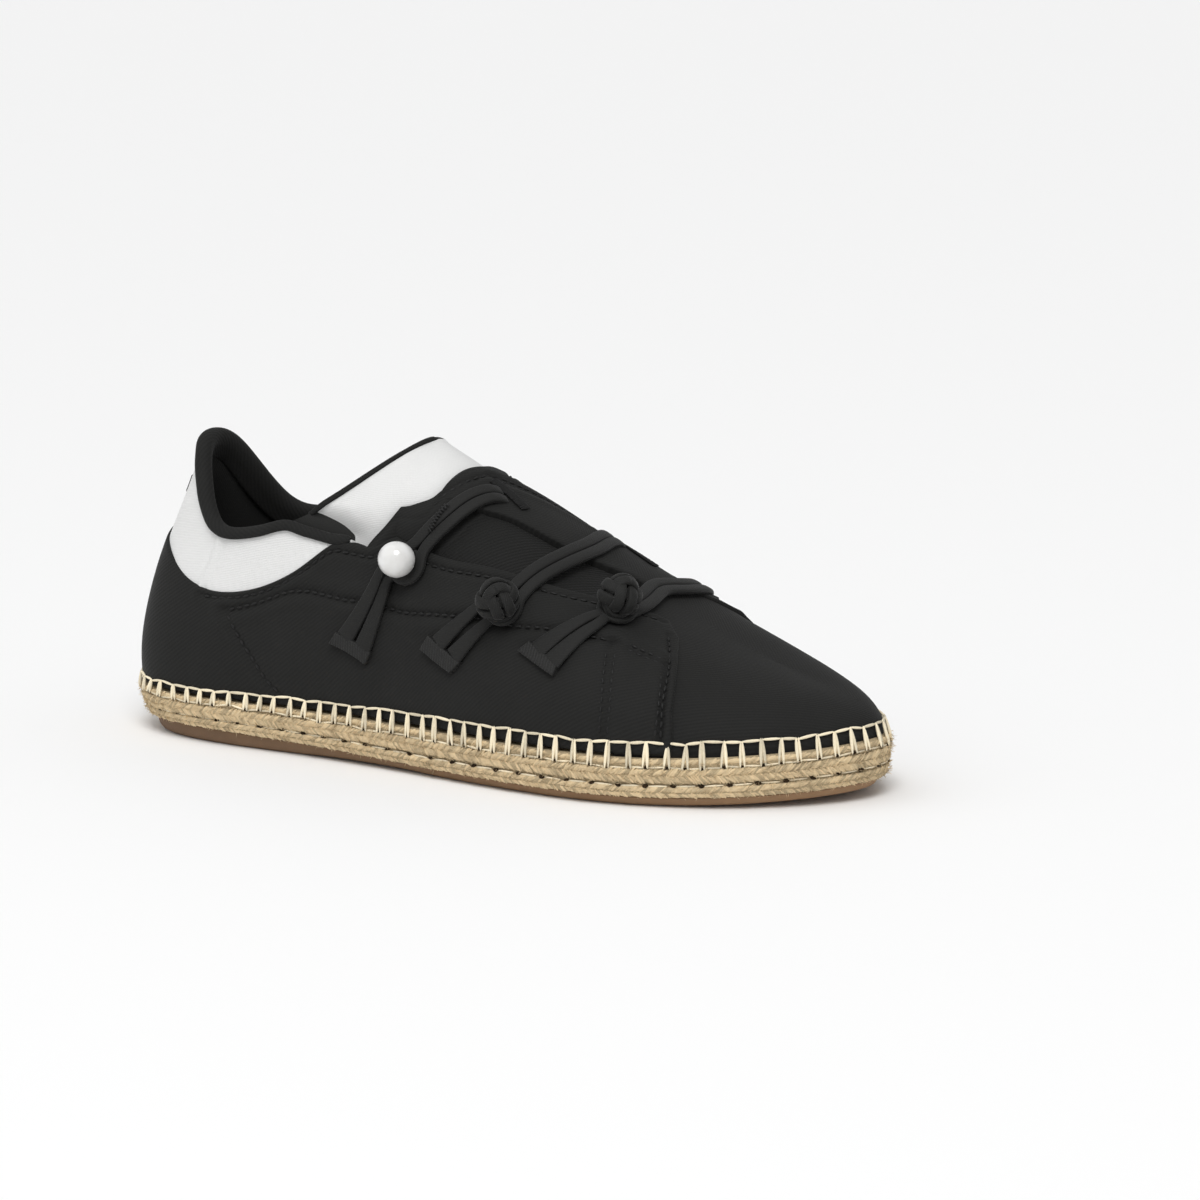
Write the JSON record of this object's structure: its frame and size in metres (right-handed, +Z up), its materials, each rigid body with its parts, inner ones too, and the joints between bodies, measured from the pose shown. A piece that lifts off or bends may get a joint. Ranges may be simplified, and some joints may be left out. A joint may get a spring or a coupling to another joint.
{
  "type": "slip-on sneaker",
  "caption": "Low slip-on sneaker on a braided jute sole, with a hollow cloth upper, a white stretch tongue and knotted cord closures.",
  "frame": {"origin": "on the ground, under the middle of the shoe's bounding box", "axes": "+X to the toe, -Y to the outer side of the foot, +Z up"},
  "size_m": [0.2512, 0.0926, 0.0949],
  "materials": {
    "rubber": "matt brown crepe rubber with a lighter toe",
    "jute": "matt braided jute with cream stitching",
    "lining": "matt black lining cloth",
    "black_cloth": "matt black fine diagonal weave",
    "white_cloth": "white stretch cloth with a soft sheen",
    "cord": "black corded fabric with a soft sheen",
    "ribbon": "black ribbed ribbon, slightly shiny",
    "pearl": "glossy pearl white"
  },
  "bodies": {
    "root": {"outsole": "rubber", "midsole": "jute", "insole": "lining", "upper": "black_cloth", "tongue": "white_cloth", "collar_binding": "black_cloth", "back_tab": "ribbon", "loop_top": "cord", "loop_middle": "cord", "loop_front": "cord", "pearl_seat": "cord", "pearl": "pearl", "knot_middle": "cord", "knot_front": "cord", "tails_top": "cord", "tails_middle": "cord", "tails_front": "cord", "tab_top": "ribbon", "tab_middle": "ribbon", "tab_front": "ribbon", "tab_inner": "ribbon"}
  },
  "joints": []
}
